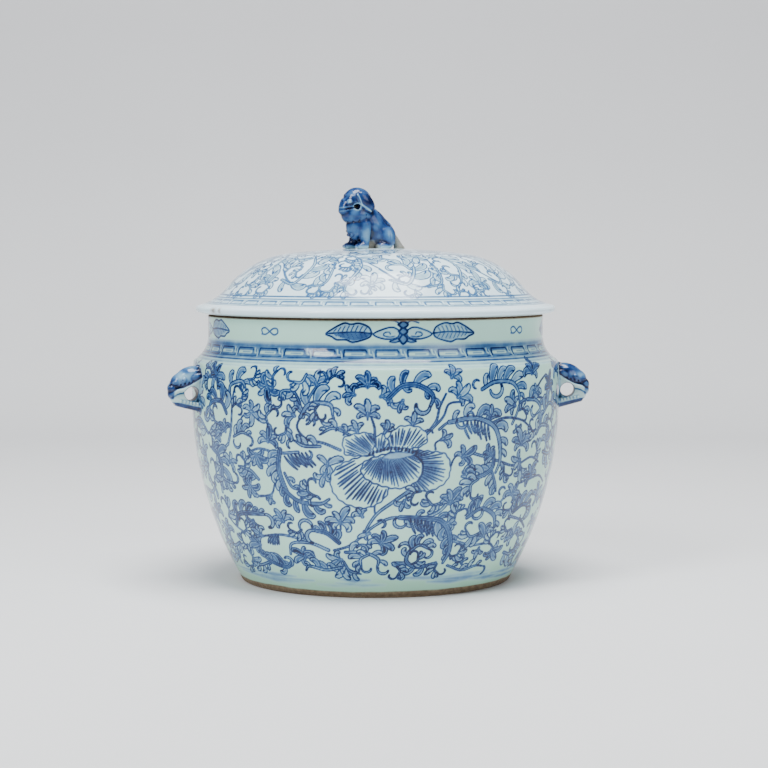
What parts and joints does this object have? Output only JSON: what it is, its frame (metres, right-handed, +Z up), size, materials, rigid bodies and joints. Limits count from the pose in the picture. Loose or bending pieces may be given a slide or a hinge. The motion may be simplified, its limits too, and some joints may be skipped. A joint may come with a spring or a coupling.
{
  "type": "covered rice bowl",
  "caption": "Covered porcelain rice bowl with blue painted scrolls, a domed lift-off lid with a seated lion finial, and pierced animal-head lug handles.",
  "frame": {"origin": "on the bowl's axis, at the level that the foot ring stands on", "axes": "+Z up along the bowl's axis; +X towards the right handle, 1 degree off it; -Y is the front, with the main peony"},
  "size_m": [0.2685, 0.236, 0.2501],
  "materials": {
    "celadon_glaze": "gloss",
    "lid_glaze": "gloss",
    "cobalt_glaze": "gloss",
    "dark_cobalt_glaze": "gloss"
  },
  "bodies": {
    "bowl": {"bowl": "celadon_glaze", "left_handle": "cobalt_glaze", "right_handle": "cobalt_glaze"},
    "lid": {"lid": "lid_glaze", "lion_body": "cobalt_glaze", "lion_head": "cobalt_glaze", "lion_left_ear": "dark_cobalt_glaze", "lion_right_ear": "dark_cobalt_glaze", "lion_tail": "celadon_glaze"}
  },
  "joints": [
    {"name": "lid_lift", "type": "slide", "parent": "bowl", "child": "lid", "axis": [0, 0, 1], "range_m": [0, 0.1]}
  ]
}
